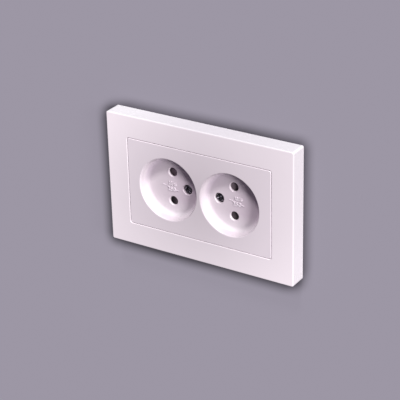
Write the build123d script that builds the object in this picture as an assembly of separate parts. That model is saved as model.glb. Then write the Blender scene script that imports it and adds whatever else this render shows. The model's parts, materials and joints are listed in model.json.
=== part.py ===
from build123d import *
from math import cos, hypot, radians, sin, sqrt
import os

# Double wall socket for a round wall box, sizes in millimetres.
# X runs to the right, Y into the wall and Z up, and the wall is the plane y = 0.

# Outer frame
frame_width = 129.2
frame_height = 86.0
projection = 11.7
frame_wall = 2.2
frame_front = 2.2
frame_corner = 1.2
frame_edge = 0.7
ledge_width = 2.0
ledge_thickness = 1.8
ledge_root = 2.0
frame_rib = 1.2

# Front cover
cover_width = 99.8
cover_height = 56.8
cover_corner = 1.2
cover_plate = 2.4
cover_gap = 0.18
joint_chamfer = 0.35
skirt_inset = 2.3
skirt_wall = 1.6
skirt_clearance = 0.2
cover_rib = 1.0
cover_rib_depth = 4.5

# Wells that take the plugs
well_spacing = 43.0
well_rim_radius = 20.25
well_floor_radius = 18.65
well_depth = 6.0
well_floor_fillet = 2.9
well_edge = 0.6
well_skin = 1.2

# Pin holes in the well floors
pin_spacing = 19.0
pin_hole_radius = 2.8
pin_hole_chamfer = 0.45

# Screws that hold the cover
cover_screw_offset = 10.3
screw_radius = 1.5
screw_clearance = 0.2
screw_tip = 0.7
cover_screw_head_radius = 3.0
cover_screw_head = 1.9
cover_screw_sunk = 0.6
pan_side = 0.6
thread_margin = 0.8
head_clearance = 0.2
head_recess_chamfer = 0.3
boss_wall = 1.0
boss_floor = 1.2
insert_radius = 2.4
insert_length = 6.5
cross_reach = 3.3
cross_foot = 1.5
cross_width = 0.75
cross_depth = 1.2

# Steel support plate
plate_inset = 3.9
plate_margin = 5.0
plate_thickness = 1.2
plate_corner = 6.0
box_screw_spacing = 60.0
box_slot_width = 3.6
box_slot_length = 7.0
plate_play = 0.2
bead_length = 46.0
bead_width = 4.4
bead_height = 0.8
bead_flat = 0.1
bead_inset = 7.5

# Base housing behind the cover
base_wall = 1.6
base_rear_wall = 2.0
rivet_x = 9.0
rivet_offset = 3.6
rivet_radius = 1.5
rivet_head_radius = 2.6
rivet_head = 0.9
rivet_side = 0.4
ear_radius = 3.8
ear_thickness = 3.0
tower_wall = 1.2
rear_chamfer = 0.8
core_width = 7.0
core_wall = 2.0
core_floor = 8.5
core_margin = 1.0

# Shutters and the floor that they slide on
shutter_margin = 1.0
shutter_play = 0.2
shutter_back = -0.4
ramp_lip = 0.4
ramp_drop = 2.7
web_play = 0.55
pocket_play = 0.3
floor_thickness = 1.5
spring_radius = 1.4
spring_wire = 0.4
spring_turns = 6
spring_margin = 0.6
spring_post_width = 5.2
spring_post_height = 5.0
spigot_radius = 0.9
spigot_length = 1.2
spigot_root = 0.4
rail_width = 1.2
rail_start = 9.5
rail_margin = 0.7
stop_height = 6.0
stop_gap = 0.05

# Busbars with their contact clips
bar_height = 5.8
bar_thickness = 0.8
bar_place = 14.6
bar_back_play = 1.6
leaf_width = 5.4
leaf_thickness = 0.7
throat_gap = 3.8
throat_front = 5.8
throat_rear = 9.2
leaf_knee = 2.0
leaf_mouth = 3.4
mouth_flare = 0.85
leaf_bend = 1.0
clip_thickness = 0.5
clip_play = 0.4
clip_width = 2.4
chamber_height = 8.6

# Terminals
terminal_spacing = 8.0
terminal_shift = 3.5
terminal_width = 15.0
terminal_length = 9.0
terminal_height = 5.4
metal_chamfer = 0.4
wire_radius = 1.7
wire_end = 1.0
wire_entry_radius = 2.1
wire_entry_chamfer = 0.5
terminal_screw_head_radius = 2.3
terminal_screw_head = 1.8
terminal_screw_raise = 0.4
screwdriver_radius = 2.7
slot_width = 0.7
slot_depth = 0.8

# Spreading claws
claw_x = 8.6
claw_width = 7.4
claw_thickness = 1.0
claw_opening = 14.0
claw_pivot_y = 2.0
pivot_radius = 1.0
pivot_play = 0.05
pivot_gap = 0.1
eye_radius = 1.7
fork_play = 0.4
fork_depth = 0.7
lug_thickness = 1.5
lug_play = 0.3
claw_screw_tail = 1.0
claw_screw_head_radius = 2.8
claw_screw_head = 2.0
nut_size = 7.0
nut_length = 3.6
nut_gap = 0.3
nut_rest = 14.0
nut_travel = 5.0
ramp_play = 0.12
claw_tip = 1.2
tooth_rise = 0.5
tooth_count = 4
tooth_depth = 0.9

# How far cutters and joined pieces reach past a face, and how close a picked edge lies
overshoot = 1.0
match = 0.01

# Places worked out from the sizes above
front = -projection
seat = front + cover_plate
well_x = well_spacing / 2
floor_front = front + well_depth
floor_back = floor_front + well_skin
pin_z = pin_spacing / 2
cover_screw_x = well_x - cover_screw_offset
cover_screw_length = boss_floor + insert_length - thread_margin
head_recess_radius = cover_screw_head_radius + head_clearance
head_seat = floor_front + cover_screw_sunk + cover_screw_head
boss_back = head_seat + boss_floor
boss_radius = head_recess_radius + boss_wall
tower_radius = insert_radius + tower_wall
plate_front = -plate_thickness
plate_width = cover_width - 2 * plate_inset
plate_height = box_screw_spacing + 2 * plate_margin
shutter_front = floor_back + shutter_play
shutter_lobe = pin_hole_radius + shutter_margin
shutter_travel = 2 * pin_hole_radius + shutter_margin
web_inner = boss_radius + web_play + shutter_travel - cover_screw_offset
shutter_web = shutter_lobe - web_inner
track = shutter_back + shutter_play
pocket_floor = track + floor_thickness
spring_y = (shutter_front + shutter_back) / 2
rail_z = pin_z + shutter_lobe + shutter_play
bar_half_length = well_x + leaf_width / 2
bar_corner = hypot(bar_half_length, pin_z + bar_height / 2)
pocket_radius = max(bar_corner, hypot(well_x, pin_z) + shutter_lobe) + pocket_play
base_radius = pocket_radius + base_wall
base_height = 2 * (rail_z + rail_width + rail_margin + base_wall)
chamber_depth = bar_place + bar_thickness + bar_back_play
base_depth = chamber_depth + base_rear_wall
core_height = 2 * (pin_z - chamber_height / 2 - core_wall)
rivet_z = base_height / 2 + rivet_offset
terminal_left = terminal_shift - terminal_spacing / 2
terminal_right = terminal_shift + terminal_spacing / 2
terminal_front = bar_place - terminal_length
terminal_screw_y = bar_place - terminal_length / 2
claw_screw_z = base_height / 2 + nut_gap + nut_size / 2
claw_screw_length = nut_rest + nut_length + claw_screw_tail + plate_thickness
claw_pivot_z = claw_screw_z + screw_radius + pivot_gap + pivot_radius
nut_top = claw_screw_z + nut_size / 2


def slab(outline, back, face):
    """Extrude an outline drawn in X and Z from the depth y = back forward to y = face."""
    return extrude(Plane.XZ.offset(-back) * outline, amount=back - face)


def block(width, height, back, face, corner):
    """A rectangular slab centred on the Y axis, with rounded corners."""
    return slab(RectangleRounded(width, height, corner), back, face)


def rod(radius, x, z, back, face):
    """A round bar along Y."""
    return slab(Pos(x, z) * Circle(radius), back, face)


def upright_rod(radius, x, y, start, end):
    """A round bar along Z between two heights."""
    return Pos(x, y, (start + end) / 2) * Cylinder(radius, abs(end - start))


def cross_rod(radius, x, y, z, length):
    """A round bar along X about its middle."""
    return Pos(x, y, z) * Cylinder(radius, length, rotation=(0, 90, 0))


def box(corner, opposite):
    """A box between two opposite corners."""
    size = [abs(b - a) for a, b in zip(corner, opposite)]
    middle = [(a + b) / 2 for a, b in zip(corner, opposite)]
    return Pos(*middle) * Box(*size)


def edges_at(shape, y):
    """The edges that lie in the plane y."""
    return shape.edges().filter_by_position(Axis.Y, y - match, y + match)


def edges_inside(shape, y, width, height):
    """The edges in the plane y that lie inside a centred rectangle."""
    return edges_at(shape, y).filter_by(
        lambda e: abs(e.center().X) < width / 2 + match and abs(e.center().Z) < height / 2 + match
    )


def round_edges(shape, y, radius):
    """The round edges of one radius in the plane y."""
    return edges_at(shape, y).filter_by(GeomType.CIRCLE).filter_by(
        lambda e: abs(e.radius - radius) < match
    )


def bent_strip(points, bend, x, width, thickness):
    """A flat strip as wide as width along X, bent along points given as (y, z)."""
    path = FilletPolyline(*[(x, y, z) for y, z in points], radius=bend)
    start = Plane(origin=path @ 0, x_dir=(1, 0, 0), z_dir=path % 0)
    return sweep(start * Rectangle(width, thickness), path=path)


def turned(shape):
    """The same piece turned half a turn about Y, from the upper side to the lower."""
    return shape.rotate(Axis.Y, 180)


def left_of(shape):
    """The left twin of a piece on the right."""
    return mirror(shape, about=Plane.YZ)


def pan_screw(head_radius, head, length, x, z, seat_y):
    """A pan-head screw along Y whose head rests on the plane seat_y, with a cross recess."""
    top = seat_y - head
    end = seat_y + length
    pan = rod(head_radius, 0, 0, seat_y, top)
    pan = fillet(edges_at(pan, top), head - pan_side)
    shank = rod(screw_radius, 0, 0, end, seat_y)
    shank = chamfer(edges_at(shank, end), screw_tip)
    wing = Polyline(
        (-cross_reach / 2, top),
        (cross_reach / 2, top),
        (cross_foot / 2, top + cross_depth),
        (-cross_foot / 2, top + cross_depth),
        (-cross_reach / 2, top),
    )
    blade = extrude(make_face(wing), amount=cross_width / 2, both=True)
    return Pos(x, 0, z) * (pan + shank - blade - blade.rotate(Axis.Y, 90))


def outer_frame():
    shell = block(frame_width, frame_height, 0, front, frame_corner)
    shell = fillet(edges_at(shell, front), frame_edge)
    inner_width = frame_width - 2 * frame_wall
    inner_height = frame_height - 2 * frame_wall
    shell -= slab(Rectangle(inner_width, inner_height), overshoot, front + frame_front)
    window_width = cover_width + 2 * cover_gap
    window_height = cover_height + 2 * cover_gap
    window_corner = cover_corner + cover_gap
    rib_front = front + frame_front / 2
    ledge_back = seat + ledge_thickness
    shell += block(
        window_width + 2 * ledge_root,
        window_height + 2 * ledge_root,
        ledge_back,
        rib_front,
        window_corner,
    )
    for side in (-1, 1):
        for x in (-well_x, well_x):
            root = side * (window_height + ledge_root) / 2
            wall = side * (frame_height - frame_wall) / 2
            shell += box(
                (x - frame_rib / 2, rib_front, root),
                (x + frame_rib / 2, ledge_back, wall),
            )
        for z in (-pin_z, pin_z):
            root = side * (window_width + ledge_root) / 2
            wall = side * (frame_width - frame_wall) / 2
            shell += box(
                (root, rib_front, z - frame_rib / 2),
                (wall, ledge_back, z + frame_rib / 2),
            )
    shell -= block(window_width, window_height, seat, front - overshoot, window_corner)
    shell -= block(
        window_width - 2 * ledge_width,
        window_height - 2 * ledge_width,
        0,
        seat - overshoot,
        window_corner,
    )
    return chamfer(edges_inside(shell, front, window_width, window_height), joint_chamfer)


def well_form(grow, top, bottom, rim):
    """A round tapered form about a well's axis, grown outwards from the well's own wall."""
    slope = (well_rim_radius - well_floor_radius) / well_depth
    outline = Polyline(
        (0, top),
        (well_rim_radius + grow - slope * (top - front), top),
        (well_rim_radius + grow - slope * (bottom - front), bottom),
        (0, bottom),
        (0, top),
    )
    form = revolve(make_face(outline), Axis.Y)
    return fillet(edges_at(form, bottom), rim)


def front_cover():
    cover = block(cover_width, cover_height, seat, front, cover_corner)
    cover = chamfer(edges_at(cover, front), joint_chamfer)
    skirt_width = cover_width - 2 * skirt_inset
    skirt_height = cover_height - 2 * skirt_inset
    skirt_back = plate_front - skirt_clearance
    skirt = block(skirt_width, skirt_height, skirt_back, seat - overshoot, cover_corner)
    skirt -= slab(
        Rectangle(skirt_width - 2 * skirt_wall, skirt_height - 2 * skirt_wall),
        overshoot,
        front,
    )
    cover += skirt
    rib_width = skirt_width - skirt_wall
    rib_height = skirt_height - skirt_wall
    rib_back = seat + cover_rib_depth
    for x in (-well_x, 0, well_x):
        cover += slab(Pos(x, 0) * Rectangle(cover_rib, rib_height), rib_back, seat - overshoot)
    cover += slab(Rectangle(rib_width, cover_rib), rib_back, seat - overshoot)
    cup_fillet = well_floor_fillet + well_skin / 2
    cup = well_form(well_skin, front + cover_plate / 2, floor_back, cup_fillet)
    hollow = well_form(0, front - overshoot, floor_front, well_floor_fillet)
    for side in (-1, 1):
        cover += Pos(side * well_x, 0, 0) * cup
    for side in (-1, 1):
        cover -= Pos(side * well_x, 0, 0) * hollow
        boss_x = side * cover_screw_x
        cover += rod(boss_radius, boss_x, 0, boss_back, floor_front + well_skin / 2)
        cover -= rod(head_recess_radius, boss_x, 0, head_seat, floor_front - overshoot)
        cover -= rod(screw_radius + screw_clearance, boss_x, 0, boss_back, head_seat)
        for z in (-pin_z, pin_z):
            cover -= rod(pin_hole_radius, side * well_x, z, floor_back, floor_front)
    cover = chamfer(round_edges(cover, floor_front, pin_hole_radius), pin_hole_chamfer)
    cover = chamfer(round_edges(cover, floor_front, head_recess_radius), head_recess_chamfer)
    return fillet(round_edges(cover, front, well_rim_radius), well_edge)


def base_outline(shrink):
    """The outline of the housing, a disc cut flat above and below."""
    disc = Circle(base_radius - shrink)
    return disc & Rectangle(2 * base_radius, base_height - 2 * shrink)


def support_plate():
    outline = RectangleRounded(plate_width, plate_height, plate_corner)
    outline -= base_outline(-plate_play)
    slot = SlotOverall(box_slot_length, box_slot_width, rotation=90)
    for side in (-1, 1):
        outline -= Pos(0, side * box_screw_spacing / 2) * slot
        outline -= Pos(side * rivet_x, side * rivet_z) * Circle(rivet_radius)
        outline -= Pos(-side * claw_x, side * claw_screw_z) * Circle(screw_radius + screw_clearance)
    plate = slab(outline, 0, plate_front)
    crest = plate_front - bead_height
    ridge = slab(SlotOverall(bead_length, bead_width, rotation=90), 0, crest)
    ridge = fillet(edges_at(ridge, crest), bead_height - bead_flat)
    groove_length = bead_length - 2 * plate_thickness
    groove_width = bead_width - 2 * plate_thickness
    groove = slab(SlotOverall(groove_length, groove_width, rotation=90), 0, -bead_height)
    for side in (-1, 1):
        place = Pos(side * (plate_width / 2 - bead_inset), 0, 0)
        plate += place * ridge
        plate -= place * groove
    return plate


def claw_lugs():
    """Two lugs on the housing that carry the pivot pin of the upper claw."""
    reach = claw_width / 2 + lug_play + lug_thickness / 2
    span = 2 * reach + lug_thickness + overshoot
    lugs = Part()
    for side in (-1, 1):
        middle = -claw_x + side * reach
        lugs += box(
            (middle - lug_thickness / 2, 0, base_height / 2 - overshoot),
            (middle + lug_thickness / 2, 2 * claw_pivot_y, claw_pivot_z),
        )
        lugs += cross_rod(claw_pivot_y, middle, claw_pivot_y, claw_pivot_z, lug_thickness)
    return lugs - cross_rod(pivot_radius, -claw_x, claw_pivot_y, claw_pivot_z, span)


def rivet_ear():
    """An ear on the housing that the upper rivet passes through."""
    root = base_height / 2 - overshoot
    neck = Pos(rivet_x, (rivet_z + root) / 2) * Rectangle(2 * ear_radius, rivet_z - root)
    return slab(neck + Pos(rivet_x, rivet_z) * Circle(ear_radius), ear_thickness, 0)


def base_housing():
    body = slab(base_outline(0), base_depth, floor_back)
    body = chamfer(edges_at(body, base_depth), rear_chamfer)
    upper = rivet_ear() + claw_lugs()
    body += upper
    body += turned(upper)
    body -= slab(base_outline(base_wall), pocket_floor, floor_back - overshoot)
    chamber = Rectangle(2 * base_radius, chamber_height)
    core = Rectangle(core_width, core_height)
    for side in (-1, 1):
        row = base_outline(base_wall) & Pos(0, side * pin_z) * chamber
        body -= slab(row, chamber_depth, pocket_floor - overshoot)
        screw_x = side * cover_screw_x
        body += rod(tower_radius, screw_x, 0, pocket_floor + overshoot, boss_back)
        body += box(
            (side * (well_x + shutter_lobe + stop_gap), floor_back, -stop_height / 2),
            (side * (base_radius - base_wall / 2), pocket_floor + overshoot, stop_height / 2),
        )
        body -= rod(insert_radius, screw_x, 0, boss_back + insert_length, boss_back)
        body -= rod(rivet_radius, side * rivet_x, side * rivet_z, ear_thickness, 0)
        core_x = cover_screw_x + tower_radius + core_margin + core_width / 2
        body -= slab(Pos(side * core_x, 0) * core, base_depth, core_floor)
        for x in (side * terminal_left, side * terminal_right):
            body -= rod(wire_entry_radius, x, side * pin_z, base_depth, chamber_depth - overshoot)
            body -= upright_rod(
                screwdriver_radius,
                x,
                terminal_screw_y,
                side * pin_z,
                side * (base_height / 2 + overshoot),
            )
    middle_width = 2 * (cover_screw_x - tower_radius - core_margin)
    body -= slab(Rectangle(middle_width, core_height), base_depth, core_floor)
    return chamfer(round_edges(body, base_depth, wire_entry_radius), wire_entry_chamfer)


def shutter_floor():
    outline = base_outline(base_wall + shutter_play / 2)
    notch = Rectangle(base_radius, stop_height + 2 * shutter_play)
    notch_start = well_x + shutter_lobe - shutter_play
    for side in (-1, 1):
        outline -= Pos(side * cover_screw_x, 0) * Circle(tower_radius + shutter_play)
        outline -= Pos(side * (notch_start + base_radius / 2), 0) * notch
        for z in (-pin_z, pin_z):
            outline -= Pos(side * well_x, z) * Circle(pin_hole_radius)
    plate = slab(outline, pocket_floor, track)
    rail_end = sqrt((base_radius - base_wall) ** 2 - (rail_z + rail_width) ** 2) - shutter_play
    rail = Rectangle(rail_end - rail_start, rail_width)
    post = Rectangle(spring_post_width, spring_post_height)
    root = track + floor_thickness / 2
    for side in (-1, 1):
        plate += slab(Pos(0, side * pin_z) * post, root, floor_back)
        for end in (-1, 1):
            plate += spigot(end * spring_post_width / 2, side * pin_z, end)
            rail_place = Pos(end * (rail_start + rail_end) / 2, side * (rail_z + rail_width / 2))
            plate += slab(rail_place * rail, root, floor_back)
    return plate


def spigot(x, z, way):
    """A short peg along X that centres the end of a return spring."""
    middle = x + way * (spigot_length - spigot_root) / 2
    return cross_rod(spigot_radius, middle, spring_y, z, spigot_length + spigot_root)


def right_shutter():
    outline = Pos(shutter_lobe - shutter_web / 2, 0) * Rectangle(shutter_web, pin_spacing)
    pad = Rectangle(shutter_lobe, 2 * (spring_radius + spring_margin))
    for z in (-pin_z, pin_z):
        outline += Pos(0, z) * Circle(shutter_lobe)
        outline += Pos(-shutter_lobe / 2, z) * pad
    plate = slab(outline, shutter_back, shutter_front)
    ramp_start = -pin_hole_radius + ramp_lip
    ramp_end = shutter_lobe + overshoot
    ramp = Polyline(
        (ramp_start, shutter_front),
        (ramp_start, shutter_front - overshoot),
        (ramp_end, shutter_front - overshoot),
        (ramp_end, shutter_front + ramp_drop),
        (ramp_start, shutter_front),
    )
    wedge = extrude(make_face(ramp), amount=shutter_lobe + ramp_lip, both=True)
    for z in (-pin_z, pin_z):
        plate -= Pos(0, 0, z) * wedge
        plate += spigot(-shutter_lobe, z, -1)
    return Pos(well_x, 0, 0) * plate


def shutter_springs(side):
    """The two coil springs that push a shutter outwards to its closed place."""
    start = spring_post_width / 2
    length = well_x - shutter_lobe - start
    coils = []
    for z in (-pin_z, pin_z):
        helix = Helix(
            pitch=(length - spring_wire) / spring_turns,
            height=length - spring_wire,
            radius=spring_radius,
            center=(side * (start + spring_wire / 2), spring_y, z),
            direction=(side, 0, 0),
        )
        section = Plane(origin=helix @ 0, z_dir=helix % 0) * Rectangle(spring_wire, spring_wire)
        coils.append(sweep(section, path=helix, is_frenet=True))
    return Compound(coils)


def upper_busbar():
    back = bar_place + bar_thickness
    bar = slab(Pos(0, pin_z) * Rectangle(2 * bar_half_length, bar_height), back, bar_place)
    throat = (throat_gap + leaf_thickness) / 2
    root = (bar_height - leaf_thickness) / 2
    for side in (-1, 1):
        for way in (-1, 1):
            bar += bent_strip(
                [
                    (bar_place + bar_thickness / 2, pin_z + way * root),
                    (throat_rear + leaf_knee, pin_z + way * root),
                    (throat_rear, pin_z + way * throat),
                    (throat_front, pin_z + way * throat),
                    (leaf_mouth, pin_z + way * (throat + mouth_flare)),
                ],
                leaf_bend,
                side * well_x,
                leaf_width,
                leaf_thickness,
            )
    for x in (terminal_left, terminal_right):
        bar -= rod(wire_radius, x, pin_z, back, bar_place)
    return bar


def contact_spring(side, way):
    """A steel clip around the two leaves of one contact."""
    reach = throat_gap / 2 + leaf_thickness + clip_thickness / 2
    back = side * (well_x - leaf_width / 2 - clip_play)
    tip = side * (well_x + leaf_width / 2)
    middle = (throat_front + throat_rear) / 2
    path = FilletPolyline(
        (tip, middle, way * pin_z + reach),
        (back, middle, way * pin_z + reach),
        (back, middle, way * pin_z - reach),
        (tip, middle, way * pin_z - reach),
        radius=clip_play,
    )
    start = Plane(origin=path @ 0, x_dir=(0, 1, 0), z_dir=path % 0)
    return sweep(start * Rectangle(clip_width, clip_thickness), path=path)


def upper_terminal():
    top = pin_z + terminal_height / 2
    body = box(
        (terminal_shift - terminal_width / 2, terminal_front, pin_z - terminal_height / 2),
        (terminal_shift + terminal_width / 2, bar_place, top),
    )
    body = chamfer(body.edges().filter_by(Axis.Y), metal_chamfer)
    for x in (terminal_left, terminal_right):
        body -= rod(wire_radius, x, pin_z, bar_place, terminal_front + wire_end)
        body -= upright_rod(screw_radius, x, terminal_screw_y, pin_z, top)
    return body


def upper_terminal_screw(x):
    seat_z = pin_z + terminal_height / 2 + terminal_screw_raise
    top = seat_z + terminal_screw_head
    screw = upright_rod(screw_radius, x, terminal_screw_y, pin_z + wire_radius, seat_z)
    screw += upright_rod(terminal_screw_head_radius, x, terminal_screw_y, seat_z, top)
    return screw - box(
        (x - terminal_screw_head_radius, terminal_screw_y - slot_width / 2, top - slot_depth),
        (x + terminal_screw_head_radius, terminal_screw_y + slot_width / 2, top),
    )


def upper_rivet():
    head_top = plate_front - rivet_head
    tail_end = ear_thickness + rivet_head
    rivet = rod(rivet_radius, rivet_x, rivet_z, ear_thickness, plate_front)
    rivet += rod(rivet_head_radius, rivet_x, rivet_z, plate_front, head_top)
    rivet += rod(rivet_head_radius, rivet_x, rivet_z, tail_end, ear_thickness)
    ends = edges_at(rivet, head_top) + edges_at(rivet, tail_end)
    return fillet(ends, rivet_head - rivet_side)


def cover_insert():
    end = boss_back + insert_length
    sleeve = rod(insert_radius, cover_screw_x, 0, end, boss_back)
    return sleeve - rod(screw_radius, cover_screw_x, 0, end, boss_back)


def upper_claw():
    """A bent steel claw that hangs on its pivot pin and ends in a row of teeth."""
    angle = radians(claw_opening)
    contact_z = nut_top - claw_pivot_z
    contact_y = nut_rest - nut_travel - claw_pivot_y
    ramp_y = contact_y * cos(angle) + contact_z * sin(angle)
    ramp_z = contact_z * cos(angle) - contact_y * sin(angle)
    lift = ramp_play + claw_thickness / 2
    claw_end = nut_rest + claw_tip
    claw = bent_strip(
        [
            (claw_pivot_y, claw_pivot_z + ramp_z + lift),
            (claw_pivot_y + ramp_y, claw_pivot_z + ramp_z + lift),
            (nut_rest, nut_top + lift),
            (claw_end, nut_top + lift + tooth_rise),
        ],
        claw_thickness,
        -claw_x,
        claw_width,
        claw_thickness,
    )
    claw += cross_rod(eye_radius, -claw_x, claw_pivot_y, claw_pivot_z, claw_width)
    bore = pivot_radius + pivot_play
    claw -= cross_rod(bore, -claw_x, claw_pivot_y, claw_pivot_z, claw_width)
    fork_half = screw_radius + fork_play
    claw -= box(
        (-claw_x - fork_half, claw_pivot_y - 2 * eye_radius, claw_pivot_z - 2 * eye_radius),
        (
            -claw_x + fork_half,
            claw_pivot_y + eye_radius + fork_depth,
            claw_pivot_z + 2 * eye_radius,
        ),
    )
    pitch = claw_width / tooth_count
    notch = Polyline(
        (0, -tooth_depth),
        (-pitch / 2, tooth_depth),
        (pitch / 2, tooth_depth),
        (0, -tooth_depth),
    )
    cutter = extrude(make_face(notch), amount=3 * claw_thickness, both=True)
    for n in range(tooth_count + 1):
        claw -= Pos(-claw_x - claw_width / 2 + n * pitch, claw_end, nut_top) * cutter
    return claw


def upper_pivot():
    length = claw_width + 2 * (lug_play + lug_thickness)
    return cross_rod(pivot_radius, -claw_x, claw_pivot_y, claw_pivot_z, length)


def upper_nut():
    end = nut_rest + nut_length
    square = Pos(-claw_x, claw_screw_z) * Rectangle(nut_size, nut_size)
    nut = slab(square, end, nut_rest)
    nut = chamfer(nut.edges().filter_by(Axis.Y), metal_chamfer)
    return nut - rod(screw_radius + pivot_play, -claw_x, claw_screw_z, end, nut_rest)


def upper_claw_screw():
    return pan_screw(
        claw_screw_head_radius,
        claw_screw_head,
        claw_screw_length,
        -claw_x,
        claw_screw_z,
        plate_front,
    )


def cover_screw():
    return pan_screw(
        cover_screw_head_radius,
        cover_screw_head,
        cover_screw_length,
        cover_screw_x,
        0,
        head_seat,
    )


nodes = {
    "outer_frame": outer_frame(),
    "front_cover": front_cover(),
    "cover_screw_left": left_of(cover_screw()),
    "cover_screw_right": cover_screw(),
    "cover_insert_left": left_of(cover_insert()),
    "cover_insert_right": cover_insert(),
    "support_plate": support_plate(),
    "base_housing": base_housing(),
    "base_rivet_upper": upper_rivet(),
    "base_rivet_lower": turned(upper_rivet()),
    "shutter_floor": shutter_floor(),
    "shutter_left": left_of(right_shutter()),
    "shutter_right": right_shutter(),
    "shutter_springs_left": shutter_springs(-1),
    "shutter_springs_right": shutter_springs(1),
    "busbar_upper": upper_busbar(),
    "busbar_lower": turned(upper_busbar()),
    "contact_spring_upper_left": contact_spring(-1, 1),
    "contact_spring_upper_right": contact_spring(1, 1),
    "contact_spring_lower_left": contact_spring(-1, -1),
    "contact_spring_lower_right": contact_spring(1, -1),
    "terminal_block_upper": upper_terminal(),
    "terminal_block_lower": turned(upper_terminal()),
    "terminal_screw_upper_left": upper_terminal_screw(terminal_left),
    "terminal_screw_upper_right": upper_terminal_screw(terminal_right),
    "terminal_screw_lower_left": turned(upper_terminal_screw(terminal_right)),
    "terminal_screw_lower_right": turned(upper_terminal_screw(terminal_left)),
    "claw_upper": upper_claw(),
    "claw_lower": turned(upper_claw()),
    "claw_pivot_upper": upper_pivot(),
    "claw_pivot_lower": turned(upper_pivot()),
    "claw_nut_upper": upper_nut(),
    "claw_nut_lower": turned(upper_nut()),
    "claw_screw_upper": upper_claw_screw(),
    "claw_screw_lower": turned(upper_claw_screw()),
}

os.makedirs("parts", exist_ok=True)
for name, shape in nodes.items():
    export_step(shape, f"parts/{name}.step")
    print(name, round(shape.volume, 1), shape.bounding_box())
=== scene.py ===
import json
import math

import bpy
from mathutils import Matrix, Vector


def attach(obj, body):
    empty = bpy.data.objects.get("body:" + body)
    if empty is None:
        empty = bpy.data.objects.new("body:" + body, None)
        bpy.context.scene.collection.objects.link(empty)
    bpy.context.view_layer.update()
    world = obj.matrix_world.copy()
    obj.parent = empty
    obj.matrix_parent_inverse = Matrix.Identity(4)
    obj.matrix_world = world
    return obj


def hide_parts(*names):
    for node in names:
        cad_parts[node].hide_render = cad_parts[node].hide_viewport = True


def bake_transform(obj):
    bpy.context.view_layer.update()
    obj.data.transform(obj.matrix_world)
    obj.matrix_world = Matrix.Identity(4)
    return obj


# A white double wall socket on its wall, seen from the right and from above.
# Sizes are in metres. X runs to the right, Y into the wall and Z up, and the wall is at y = 0.

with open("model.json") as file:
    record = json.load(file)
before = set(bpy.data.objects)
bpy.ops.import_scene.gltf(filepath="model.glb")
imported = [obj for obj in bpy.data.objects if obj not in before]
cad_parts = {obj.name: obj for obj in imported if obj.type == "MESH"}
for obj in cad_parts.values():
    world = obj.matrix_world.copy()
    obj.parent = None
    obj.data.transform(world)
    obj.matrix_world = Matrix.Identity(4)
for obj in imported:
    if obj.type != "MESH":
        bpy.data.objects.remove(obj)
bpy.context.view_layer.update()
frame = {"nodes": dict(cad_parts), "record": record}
nodes = frame["nodes"]

# Half the width and the height of the frame's front
FRONT_HALF_SIZE = (0.0643, 0.0427)

# The middle and the floor of a well
WELL_X = 0.0215
FLOOR_Y = -0.0057

# A raised mark's middle stands before the floor, and its foot goes into the floor by its depth
MARK_STAND = 0.00008
FIGURE_DEPTH = 0.00014
DASH_DEPTH = 0.00005

# The thread on a claw screw, which leaves a few turns plain at its ends
THREAD_CREST = 0.0015
THREAD_ROOT = 0.00122
THREAD_PITCH = 0.0005
THREAD_START = 0.0003
THREAD_END = 0.0186
THREAD_CHAMFER = 0.0003
PLAIN_TURNS = 3

# The wall, with its opening behind the frame
WALL_Y = 0.0001
WALL_SIZE = 4
OPENING_HALF_WIDTH = 0.0644
OPENING_HALF_HEIGHT = 0.0428

# The corners of the patch of wall that the socket hides from the camera, anticlockwise in X and Z
COVERED = [
    (-0.0733, -0.0506),
    (0.0582, -0.0506),
    (0.0646, -0.0430),
    (0.0646, 0.0430),
    (-0.0646, 0.0430),
    (-0.0733, 0.0370),
]

# How far the painted shadow on the wall reaches inwards and outwards from that patch's outline
PAINTED_SHADOW_INSIDE = 0.0042
PAINTED_SHADOW_OUTSIDE = 0.0085

# The painted shadow is deepest on a leaning line through the middle, and fades away from it
PAINTED_SHADOW_LEAN = -0.6
PAINTED_SHADOW_FADE = -4.8
PAINTED_SHADOW_PEAK = 1.21

# The least brightness of the wall in its painted shadow, its share of real shading, and the
# room's light on the socket
WALL_DARKEST = 0.2
WALL_SHADED = 0.12
ROOM_LIGHT = 0.29


# Colours and shader pieces


def from_screen(red, green, blue):
    """A colour read on a screen from 0 to 255, as the shader wants it."""
    shares = [value / 255 for value in (red, green, blue)]
    linear = [s / 12.92 if s < 0.04045 else ((s + 0.055) / 1.055) ** 2.4 for s in shares]
    return (*linear, 1.0)


WALL_GREY = from_screen(157, 151, 165)


def feed(tree, target, source):
    """Give an input a plain value, or link it to another piece's output."""
    if isinstance(source, bpy.types.NodeSocket):
        tree.links.new(source, target)
    else:
        target.default_value = source


def calculated(tree, operation, *values):
    """One step of arithmetic on outputs or plain values."""
    node = tree.nodes.new("ShaderNodeMath")
    node.operation = operation
    for target, source in zip(node.inputs, values):
        feed(tree, target, source)
    return node.outputs["Value"]


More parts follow.
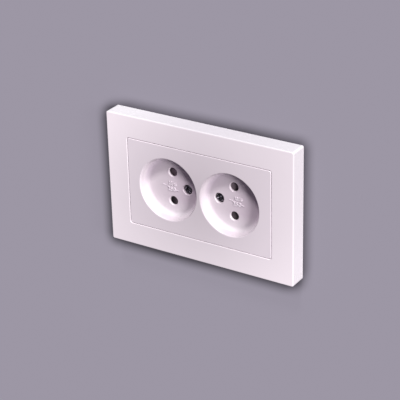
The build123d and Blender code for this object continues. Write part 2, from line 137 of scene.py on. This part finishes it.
class Finish:
    """One surface finish, with its shader and the texture pieces that feed it."""

    def __init__(self, name, metal=0.0, gloss=0.5):
        self.material = bpy.data.materials.new(name)
        self.material.use_nodes = True
        self.tree = self.material.node_tree
        self.shader = self.tree.nodes["Principled BSDF"]
        self.shader.inputs["Metallic"].default_value = metal
        self.shader.inputs["Specular IOR Level"].default_value = gloss
        self.place = self.tree.nodes.new("ShaderNodeTexCoord").outputs["Object"]

    def link(self, source, target):
        self.tree.links.new(source, target)

    def stretched(self, x, y, z):
        """The surface's own place, stretched, so that a pattern runs along one way."""
        mapping = self.tree.nodes.new("ShaderNodeMapping")
        mapping.inputs["Scale"].default_value = (x, y, z)
        self.link(self.place, mapping.inputs["Vector"])
        return mapping.outputs["Vector"]

    def noise(self, size, detail=2.0, place=None):
        """A cloudy pattern from 0 to 1, with patches of about the given size."""
        texture = self.tree.nodes.new("ShaderNodeTexNoise")
        texture.inputs["Scale"].default_value = 1 / size
        texture.inputs["Detail"].default_value = detail
        self.link(place or self.place, texture.inputs["Vector"])
        return texture.outputs["Fac"]

    def spangles(self, size):
        """A pattern of crystals of about the given size, each with one value from 0 to 1."""
        texture = self.tree.nodes.new("ShaderNodeTexVoronoi")
        texture.inputs["Scale"].default_value = 1 / size
        self.link(self.place, texture.inputs["Vector"])
        grey = self.tree.nodes.new("ShaderNodeRGBToBW")
        self.link(texture.outputs["Color"], grey.inputs["Color"])
        return grey.outputs["Val"]

    def ranged(self, source, low, high, start=0.3, end=0.7):
        """The value low up to where the source is at start, and high from where it is at end."""
        node = self.tree.nodes.new("ShaderNodeMapRange")
        node.inputs["From Min"].default_value = start
        node.inputs["From Max"].default_value = end
        node.inputs["To Min"].default_value = low
        node.inputs["To Max"].default_value = high
        self.link(source, node.inputs["Value"])
        return node.outputs["Result"]

    def share(self, source, start=0.3, end=0.7):
        """The share 0 up to where the source is at start, and 1 from where it is at end."""
        return self.ranged(source, 0.0, 1.0, start, end)

    def math(self, operation, *values):
        return calculated(self.tree, operation, *values)

    def along(self, axis):
        """The place along one axis in metres."""
        split = self.tree.nodes.new("ShaderNodeSeparateXYZ")
        self.link(self.place, split.inputs["Vector"])
        return split.outputs[axis]

    def reach(self):
        """The distance from the socket's middle line in metres."""
        across = self.math("MULTIPLY", self.along("X"), self.along("X"))
        upward = self.math("MULTIPLY", self.along("Z"), self.along("Z"))
        return self.math("SQRT", self.math("ADD", across, upward))

    def beyond(self, half_size, blur):
        """The share 1 outside a centred rectangle in X and Z, and 0 inside."""
        shares = []
        for axis, half in zip("XZ", half_size):
            away = self.math("ABSOLUTE", self.along(axis))
            shares.append(self.share(away, half - blur, half))
        return self.math("MAXIMUM", *shares)

    def mixed(self, share, first, second):
        """The first colour where the share is 0, and the second where it is 1."""
        node = self.tree.nodes.new("ShaderNodeMix")
        node.data_type = "RGBA"
        for name, source in (("Factor", share), ("A", first), ("B", second)):
            feed(self.tree, node.inputs[name], source)
        return node.outputs["Result"]

    def colour(self, source):
        self.link(source, self.shader.inputs["Base Color"])

    def roughness(self, source):
        self.link(source, self.shader.inputs["Roughness"])

    def relief(self, source, depth, under=None):
        """Raise the surface by a height map, on top of the relief that lies under it."""
        node = self.tree.nodes.new("ShaderNodeBump")
        node.inputs["Distance"].default_value = depth
        node.inputs["Strength"].default_value = 1.0
        self.link(source, node.inputs["Height"])
        if under is not None:
            self.link(under, node.inputs["Normal"])
        self.link(node.outputs["Normal"], self.shader.inputs["Normal"])
        return node.outputs["Normal"]


# Finishes of the pieces


def moulded_white(name):
    """White moulded plastic with a satin gloss and a fine skin, and a value for painted light.

    The painted light grows away from the middle, most towards the upper left and the lower right.
    """
    finish = Finish(name)
    # Painted light: a value that grows away from the middle, with a cloudy wobble
    cloud = finish.math("MULTIPLY", finish.noise(0.035, 3.0), 0.010)
    slant = finish.math("MULTIPLY", finish.along("X"), finish.along("Z"))
    painted_light_spread = finish.math("SUBTRACT", finish.reach(), finish.math("MULTIPLY", slant, 5.0))
    painted_light_spread = finish.math("ADD", painted_light_spread, cloud)
    finish.roughness(finish.ranged(finish.noise(0.004, 4.0), 0.30, 0.40))
    skin = finish.relief(finish.noise(0.00035, 3.0), 0.000006)
    finish.relief(finish.noise(0.009, 1.0), 0.00003, skin)
    return finish, painted_light_spread


def frame_finish():
    """The frame's plastic with painted light, brightest far out, and with painted shade that
    greys its sides but less so on top.
    """
    finish, painted_light_spread = moulded_white("frame_white")
    # Painted light: the front is brighter far from the middle and darker near it
    far = finish.share(painted_light_spread, 0.035, 0.090)
    front = finish.mixed(far, from_screen(223, 212, 219), from_screen(252, 240, 247))
    # Painted shade: the side faces are greyer, and the top face less so
    far = finish.share(painted_light_spread, 0.048, 0.083)
    ends = finish.mixed(far, from_screen(213, 206, 210), from_screen(229, 222, 226))
    ledge = finish.mixed(far, from_screen(226, 221, 225), from_screen(239, 236, 238))
    upward = finish.share(finish.along("Z"), 0.0426, 0.0429)
    sides = finish.mixed(upward, ends, ledge)
    finish.colour(finish.mixed(finish.beyond(FRONT_HALF_SIZE, 0.0003), front, sides))
    return finish.material


def cover_finish():
    """The cover's plastic, with painted shade that makes it greyer in the wells and towards the
    middle of its front.

    Each well is painted darker and pinker towards its right side. A well's wall has painted
    light, palest at the lower right. Its floor has painted light, palest low down, and painted
    shade, dimmest at the upper left.
    """
    finish, painted_light_spread = moulded_white("cover_white")
    # Painted shade: the front is darker towards the middle
    far = finish.share(painted_light_spread, 0.005, 0.061)
    front = finish.mixed(far, from_screen(198, 187, 194), from_screen(229, 217, 225))
    # Painted shade in the wells, darker and pinker towards each well's right side
    side = finish.math("SIGN", finish.along("X"))
    across = finish.math("SUBTRACT", finish.along("X"), finish.math("MULTIPLY", side, WELL_X))
    right = finish.share(across, -0.018, 0.018)
    well = finish.mixed(right, from_screen(212, 201, 208), from_screen(196, 178, 192))
    # Painted light on the floor low down, and painted shade on it at the upper left
    low = finish.ranged(finish.along("Z"), 1.0, 0.0, -0.018, -0.007)
    floor = finish.mixed(low, well, from_screen(221, 212, 218))
    lower_right = finish.math("SUBTRACT", across, finish.along("Z"))
    painted_dim = finish.ranged(lower_right, 1.0, 0.0, -0.024, -0.015)
    floor = finish.mixed(painted_dim, floor, from_screen(194, 180, 192))
    # Painted light on the wall towards the lower right
    bright = finish.share(lower_right, 0.014, 0.027)
    wall = finish.mixed(bright, well, from_screen(226, 215, 222))
    flat = finish.share(finish.along("Y"), -0.0082, -0.0066)
    sunk = finish.share(finish.along("Y"), -0.0112, -0.0100)
    finish.colour(finish.mixed(sunk, front, finish.mixed(flat, wall, floor)))
    return finish.material


def mark_finish():
    """The cover's plastic on the raised figures, with small bright painted glints."""
    finish = Finish("mark_white")
    # Painted glints: small bright flecks in the colour of the raised figures
    painted_glints = finish.share(finish.noise(0.0006, 1.0), 0.42, 0.58)
    finish.colour(finish.mixed(painted_glints, from_screen(187, 174, 184), from_screen(238, 228, 236)))
    finish.roughness(finish.ranged(finish.noise(0.0005, 2.0), 0.20, 0.40))
    finish.relief(finish.noise(0.0004, 2.0), 0.00002)
    return finish.material


def zinc_screw():
    """Zinc-plated steel with darker stains and fine turning marks."""
    finish = Finish("screw_zinc", metal=1.0)
    stain = finish.share(finish.noise(0.0011, 4.0))
    finish.colour(finish.mixed(stain, from_screen(168, 168, 172), from_screen(84, 82, 86)))
    finish.roughness(finish.ranged(finish.noise(0.0006, 3.0), 0.16, 0.40))
    finish.relief(finish.noise(0.0002, 2.0, finish.stretched(1, 6, 1)), 0.000012)
    return finish.material


def dark_screw():
    """Blackened steel whose turned face has a few painted glints, bright patches in its colour.
    """
    finish = Finish("screw_dark", metal=1.0)
    # Painted glints: a small share of bright patches in the metal's colour
    painted_screw_glints = finish.share(finish.noise(0.0008, 2.0), 0.52, 0.64)
    finish.colour(finish.mixed(painted_screw_glints, from_screen(50, 48, 52), from_screen(190, 186, 192)))
    finish.roughness(finish.ranged(finish.noise(0.0004, 3.0), 0.16, 0.36))
    finish.relief(finish.noise(0.0005, 2.0), 0.00004)
    return finish.material


def rolled_brass():
    """Brass strip with patches of tarnish and rolling marks along X."""
    finish = Finish("plain_brass", metal=1.0)
    tarnish = finish.share(finish.noise(0.0022, 4.0))
    finish.colour(finish.mixed(tarnish, from_screen(224, 186, 104), from_screen(176, 132, 66)))
    finish.roughness(finish.ranged(finish.noise(0.0009, 3.0), 0.22, 0.42))
    finish.relief(finish.noise(0.0003, 2.0, finish.stretched(0.15, 1, 1)), 0.00001)
    return finish.material


def galvanised_plate():
    """Galvanised sheet with soft spangles and rolling marks along X."""
    finish = Finish("plate_zinc", metal=1.0)
    spangles = finish.spangles(0.0028)
    finish.colour(finish.mixed(spangles, from_screen(176, 179, 184), from_screen(200, 203, 208)))
    finish.roughness(finish.ranged(spangles, 0.36, 0.50, 0.0, 1.0))
    finish.relief(finish.noise(0.0004, 2.0, finish.stretched(0.1, 1, 1)), 0.00001)
    return finish.material


def matt_plastic(name, colour, depth):
    """Matt moulded plastic with a stony skin, in the colour that the given function mixes."""
    finish = Finish(name, gloss=0.4)
    finish.colour(colour(finish))
    finish.roughness(finish.ranged(finish.noise(0.0015, 3.0), 0.42, 0.62))
    finish.relief(finish.noise(0.0004, 4.0), depth)
    return finish.material


def clouded_black(finish):
    """The base's near black, a little uneven."""
    cloud = finish.share(finish.noise(0.006, 4.0))
    return finish.mixed(cloud, from_screen(52, 51, 54), from_screen(40, 39, 42))


def brown_with_painted_light(finish):
    """The shutters' brown-grey with painted light and shade, lighter towards the left and the top
    and darker towards the right and the bottom, as behind the pin holes.
    """
    right = finish.share(finish.along("X"), -0.012, 0.012)
    top = finish.share(finish.along("Z"), -0.005, 0.005)
    # Painted light at the upper left and painted shade at the lower right
    upper = finish.mixed(right, from_screen(157, 138, 149), from_screen(95, 83, 90))
    lower = finish.mixed(right, from_screen(85, 74, 80), from_screen(60, 52, 56))
    return finish.mixed(top, lower, upper)


def bright_wire():
    """Drawn spring steel with fine streaks along X."""
    finish = Finish("spring_wire", metal=1.0)
    drawn = finish.noise(0.0002, 2.0, finish.stretched(0.2, 1, 1))
    finish.colour(finish.mixed(drawn, from_screen(206, 208, 212), from_screen(160, 162, 168)))
    finish.roughness(finish.ranged(drawn, 0.18, 0.34))
    finish.relief(drawn, 0.000008)
    return finish.material


def rivet_metal():
    """Pale cloudy metal of the rivets."""
    finish = Finish("rivet_bright", metal=1.0)
    cloud = finish.share(finish.noise(0.0012, 3.0))
    finish.colour(finish.mixed(cloud, from_screen(222, 224, 227), from_screen(180, 183, 188)))
    finish.roughness(finish.ranged(finish.noise(0.0005, 3.0), 0.28, 0.46))
    finish.relief(finish.noise(0.0003, 3.0), 0.00001)
    return finish.material


frame_white = frame_finish()
mark_white = mark_finish()
screw_zinc = zinc_screw()
screw_dark = dark_screw()

FINISHES = {
    "cover_plastic": cover_finish(),
    "screw_steel": screw_zinc,
    "brass": rolled_brass(),
    "plate_steel": galvanised_plate(),
    "base_plastic": matt_plastic("base_black", clouded_black, 0.00002),
    "shutter_plastic": matt_plastic("shutter_brown", brown_with_painted_light, 0.000008),
    "spring_steel": bright_wire(),
    "rivet_metal": rivet_metal(),
}

OWN_FINISHES = {
    "outer_frame": frame_white,
    "cover_screw_left": screw_dark,
    "cover_screw_right": screw_dark,
}

for part in frame["record"]["subparts"]:
    node = nodes[part["node"]]
    if not node.material_slots:
        node.data.materials.append(None)
    for slot in node.material_slots:
        slot.material = OWN_FINISHES.get(part["node"], FINISHES[part["material_slot"]])


# Raised marks on the floors of the wells


def only(piece):
    """Select one object and nothing else."""
    bpy.ops.object.select_all(action="DESELECT")
    piece.select_set(True)
    bpy.context.view_layer.objects.active = piece


def joined(pieces, main):
    """Join the pieces into the main one, which keeps its name."""
    only(main)
    for piece in pieces:
        piece.select_set(True)
    bpy.ops.object.join()


def raised_mark(words, x, z, width, height, depth):
    """A line of raised figures on a well's floor, with its middle and size as given."""
    bpy.ops.object.text_add(
        location=(x, FLOOR_Y - MARK_STAND, z), rotation=(math.radians(90), 0, 0)
    )
    mark = bpy.context.object
    mark.data.body = words
    mark.data.size = height
    mark.data.align_x = "CENTER"
    mark.data.align_y = "CENTER"
    mark.data.space_character = 1.12
    mark.data.extrude = MARK_STAND + depth
    mark.data.bevel_depth = depth / 2
    mark.data.resolution_u = 4
    only(mark)
    bpy.ops.object.convert(target="MESH")
    only(mark)
    bpy.ops.object.transform_apply(location=False, rotation=True, scale=False)
    mark.scale = (width / mark.dimensions.x, 1, height / mark.dimensions.z)
    bpy.ops.object.origin_set(type="ORIGIN_GEOMETRY", center="BOUNDS")
    mark.location.x = x
    mark.location.z = z
    bpy.ops.object.transform_apply(location=True, rotation=True, scale=True)
    return mark


def rating_marks(name, currents, voltage, dash):
    """Plain figures for the currents and the voltage, and a dash, raised on a well's floor.

    Each of the three comes as the place of its middle in X and Z, its width and its height.
    """
    lines = [
        raised_mark("10/16", *currents, FIGURE_DEPTH),
        raised_mark("250~", *voltage, FIGURE_DEPTH),
        raised_mark("-", *dash, DASH_DEPTH),
    ]
    marks = lines[0]
    joined(lines, marks)
    marks.name = name
    marks.data.materials.clear()
    marks.data.materials.append(mark_white)
    bpy.ops.object.shade_smooth_by_angle(angle=math.radians(40))
    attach(marks, "root")


rating_marks(
    "rating_marks_left",
    (-WELL_X - 0.0001, 0.0018, 0.0050, 0.0027),
    (-WELL_X + 0.0001, -0.0018, 0.0077, 0.0027),
    (-WELL_X - 0.0062, 0.0001, 0.0026, 0.0004),
)
rating_marks(
    "rating_marks_right",
    (WELL_X + 0.0032, 0.0023, 0.0050, 0.0024),
    (WELL_X + 0.0031, -0.0012, 0.0078, 0.0027),
    (WELL_X - 0.0024, 0.0005, 0.0026, 0.0004),
)


# Springs and threaded screws


def own_copy(node, name):
    """A copy of a frame node's mesh, with its doubled points merged."""
    piece = bpy.data.objects.new(name, nodes[node].data.copy())
    bpy.context.scene.collection.objects.link(piece)
    only(piece)
    bpy.ops.object.mode_set(mode="EDIT")
    bpy.ops.mesh.select_all(action="SELECT")
    bpy.ops.mesh.remove_doubles(threshold=0.000001)
    bpy.ops.object.mode_set(mode="OBJECT")
    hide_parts(node)
    return piece


def return_springs(name, node):
    """A still copy of a shutter's pair of springs, which on the real socket shorten from the
    pad's end when the shutter slides.
    """
    springs = own_copy(node, name)
    bpy.ops.object.shade_smooth_by_angle(angle=math.radians(35))
    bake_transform(springs)


return_springs("return_springs_left", "shutter_springs_left")
return_springs("return_springs_right", "shutter_springs_right")


def threaded_screw(name, node, x, z):
    """A claw screw with a modelled thread on the shank behind its head."""
    screw = own_copy(node, name)
    bpy.ops.object.mode_set(mode="EDIT")
    bpy.ops.mesh.select_all(action="SELECT")
    bpy.ops.mesh.bisect(
        plane_co=(x, THREAD_START, z), plane_no=(0, 1, 0), use_fill=True, clear_outer=True
    )
    bpy.ops.object.mode_set(mode="OBJECT")

    length = THREAD_END - THREAD_START
    bpy.ops.mesh.primitive_cylinder_add(
        vertices=32,
        radius=THREAD_ROOT,
        depth=length,
        location=(x, THREAD_START + length / 2, z),
        rotation=(math.radians(90), 0, 0),
    )
    core = bpy.context.object
    bpy.ops.object.transform_apply(location=True, rotation=True, scale=True)
    edge = core.modifiers.new("edge", "BEVEL")
    edge.width = THREAD_CHAMFER
    edge.segments = 2
    edge.limit_method = "ANGLE"
    edge.angle_limit = math.radians(50)
    bpy.ops.object.modifier_apply(modifier=edge.name)

    # The ridge's section is a square on its corner, flattened so that the turns stay apart
    bpy.ops.mesh.primitive_circle_add(
        vertices=4,
        radius=THREAD_CREST - THREAD_ROOT,
        location=(x + THREAD_ROOT, THREAD_START + THREAD_PITCH, z),
    )
    ridge = bpy.context.object
    ridge.scale.y = 0.8
    bpy.ops.object.transform_apply(location=True, rotation=True, scale=True)
    bpy.context.scene.cursor.location = (x, 0, z)
    bpy.ops.object.origin_set(type="ORIGIN_CURSOR")
    turn = ridge.modifiers.new("turn", "SCREW")
    turn.axis = "Y"
    turn.angle = math.radians(360)
    turn.screw_offset = THREAD_PITCH
    turn.iterations = int(length / THREAD_PITCH) - PLAIN_TURNS
    turn.steps = 24
    turn.render_steps = 24
    bpy.ops.object.modifier_apply(modifier=turn.name)
    bpy.ops.object.transform_apply(location=True, rotation=True, scale=True)

    joined((core, ridge), screw)
    screw.data.materials.clear()
    screw.data.materials.append(screw_zinc)
    bpy.ops.object.shade_smooth_by_angle(angle=math.radians(35))
    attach(screw, "root")


threaded_screw("threaded_screw_upper", "claw_screw_upper", -0.0086, 0.0208)
threaded_screw("threaded_screw_lower", "claw_screw_lower", 0.0086, -0.0208)


# The wall that the socket sits on


def seen_directly(tree):
    """The share 1 for rays from the eye, a mirror or a clear piece, and 0 for bounced light."""
    rays = tree.nodes.new("ShaderNodeLightPath").outputs
    share = calculated(tree, "MAXIMUM", rays["Is Camera Ray"], rays["Is Glossy Ray"])
    return calculated(tree, "MAXIMUM", share, rays["Is Transmission Ray"])


def mixed_shader(tree, share, first, second):
    """The first shader where the share is 0, and the second where it is 1."""
    node = tree.nodes.new("ShaderNodeMixShader")
    for target, source in zip(node.inputs, (share, first, second)):
        feed(tree, target, source)
    return node.outputs["Shader"]


def painted_wall():
    """A plain grey wall with a soft painted shadow round the socket, clear when seen from behind.
    """
    material = bpy.data.materials.new("wall_paint")
    material.use_nodes = True
    tree = material.node_tree
    tree.nodes.clear()
    place = tree.nodes.new("ShaderNodeTexCoord").outputs["Object"]
    apart = tree.nodes.new("ShaderNodeSeparateXYZ")
    tree.links.new(place, apart.inputs["Vector"])

    # The painted shadow is deepest above the right well and below the left one
    lean = calculated(tree, "MULTIPLY_ADD", apart.outputs["Z"], PAINTED_SHADOW_LEAN, apart.outputs["X"])
    off_line = calculated(tree, "ABSOLUTE", lean)
    peak = calculated(tree, "MULTIPLY_ADD", off_line, PAINTED_SHADOW_FADE, PAINTED_SHADOW_PEAK)
    dark = calculated(tree, "MAXIMUM", peak, 1.0)
    for (x, z), (next_x, next_z) in zip(COVERED, COVERED[1:] + COVERED[:1]):
        length = math.hypot(next_x - x, next_z - z)
        outward = Vector(((next_z - z) / length, 0, (x - next_x) / length))
        across = tree.nodes.new("ShaderNodeVectorMath")
        across.operation = "DOT_PRODUCT"
        across.inputs[1].default_value = outward
        tree.links.new(place, across.inputs[0])
        edge = outward.dot(Vector((x, 0, z)))
        fall = tree.nodes.new("ShaderNodeMapRange")
        fall.interpolation_type = "SMOOTHSTEP"
        tree.links.new(across.outputs["Value"], fall.inputs["Value"])
        fall.inputs["From Min"].default_value = edge - PAINTED_SHADOW_INSIDE
        fall.inputs["From Max"].default_value = edge + PAINTED_SHADOW_OUTSIDE
        fall.inputs["To Min"].default_value = 1.0
        fall.inputs["To Max"].default_value = 0.0
        dark = calculated(tree, "MULTIPLY", dark, fall.outputs["Result"])
    bright = calculated(tree, "MAXIMUM", calculated(tree, "SUBTRACT", 1.0, dark), WALL_DARKEST)

    paint = tree.nodes.new("ShaderNodeBsdfDiffuse")
    paint.inputs["Color"].default_value = WALL_GREY
    even = tree.nodes.new("ShaderNodeEmission")
    even.inputs["Color"].default_value = WALL_GREY
    tree.links.new(bright, even.inputs["Strength"])
    seen = mixed_shader(tree, WALL_SHADED, even.outputs["Emission"], paint.outputs["BSDF"])
    front = mixed_shader(tree, seen_directly(tree), paint.outputs["BSDF"], seen)
    clear = tree.nodes.new("ShaderNodeBsdfTransparent").outputs["BSDF"]
    behind = tree.nodes.new("ShaderNodeNewGeometry").outputs["Backfacing"]
    out = tree.nodes.new("ShaderNodeOutputMaterial")
    tree.links.new(mixed_shader(tree, behind, front, clear), out.inputs["Surface"])
    return material


bpy.ops.mesh.primitive_plane_add(
    size=WALL_SIZE, location=(0, WALL_Y, 0), rotation=(math.radians(90), 0, 0)
)
wall = bpy.context.object
wall.name = "wall"
wall.scale.x = 1 + (OPENING_HALF_WIDTH - OPENING_HALF_HEIGHT) / (WALL_SIZE / 2)
bpy.ops.object.transform_apply(location=True, rotation=True, scale=True)
bpy.ops.object.mode_set(mode="EDIT")
bpy.ops.mesh.select_all(action="SELECT")
bpy.ops.mesh.inset(thickness=WALL_SIZE / 2 - OPENING_HALF_HEIGHT, depth=0)
bpy.ops.mesh.delete(type="FACE")
bpy.ops.object.mode_set(mode="OBJECT")
wall.data.materials.append(painted_wall())


# Light


def soft_sun(name, towards, strength, width):
    """A distant soft lamp that shines from the direction towards."""
    lamp = bpy.data.lights.new(name, "SUN")
    lamp.energy = strength
    lamp.angle = math.radians(width)
    holder = bpy.data.objects.new(name, lamp)
    bpy.context.scene.collection.objects.link(holder)
    holder.rotation_euler = Vector(towards).to_track_quat("Z", "Y").to_euler()


soft_sun("upper_lamp", (0.067, -0.440, 0.895), 2.46, 11)
soft_sun("right_lamp", (0.860, -0.448, 0.244), 3.69, 20)
soft_sun("rear_lamp", (-0.35, 0.8, 0.48), 1.9, 60)

world = bpy.data.worlds.new("room")
world.use_nodes = True
room = world.node_tree.nodes["Background"]
room.inputs["Color"].default_value = WALL_GREY
brightness = world.node_tree.nodes.new("ShaderNodeMapRange")
brightness.inputs["To Min"].default_value = ROOM_LIGHT
brightness.inputs["To Max"].default_value = 1.0
world.node_tree.links.new(seen_directly(world.node_tree), brightness.inputs["Value"])
world.node_tree.links.new(brightness.outputs["Result"], room.inputs["Strength"])
scene = bpy.context.scene
scene.world = world
scene.view_settings.view_transform = "Standard"


# Camera


eye = bpy.data.cameras.new("photo_view")
eye.sensor_fit = "HORIZONTAL"
eye.sensor_width = 36
eye.lens = 128.754
eye.clip_start = 0.01
eye.clip_end = 20
camera = bpy.data.objects.new("photo_view", eye)
camera.location = (0.41713, -0.65486, 0.36698)
camera.rotation_euler = [math.radians(turn) for turn in (64.32004, 1.34927, 32.2311)]
scene.collection.objects.link(camera)
scene.camera = camera
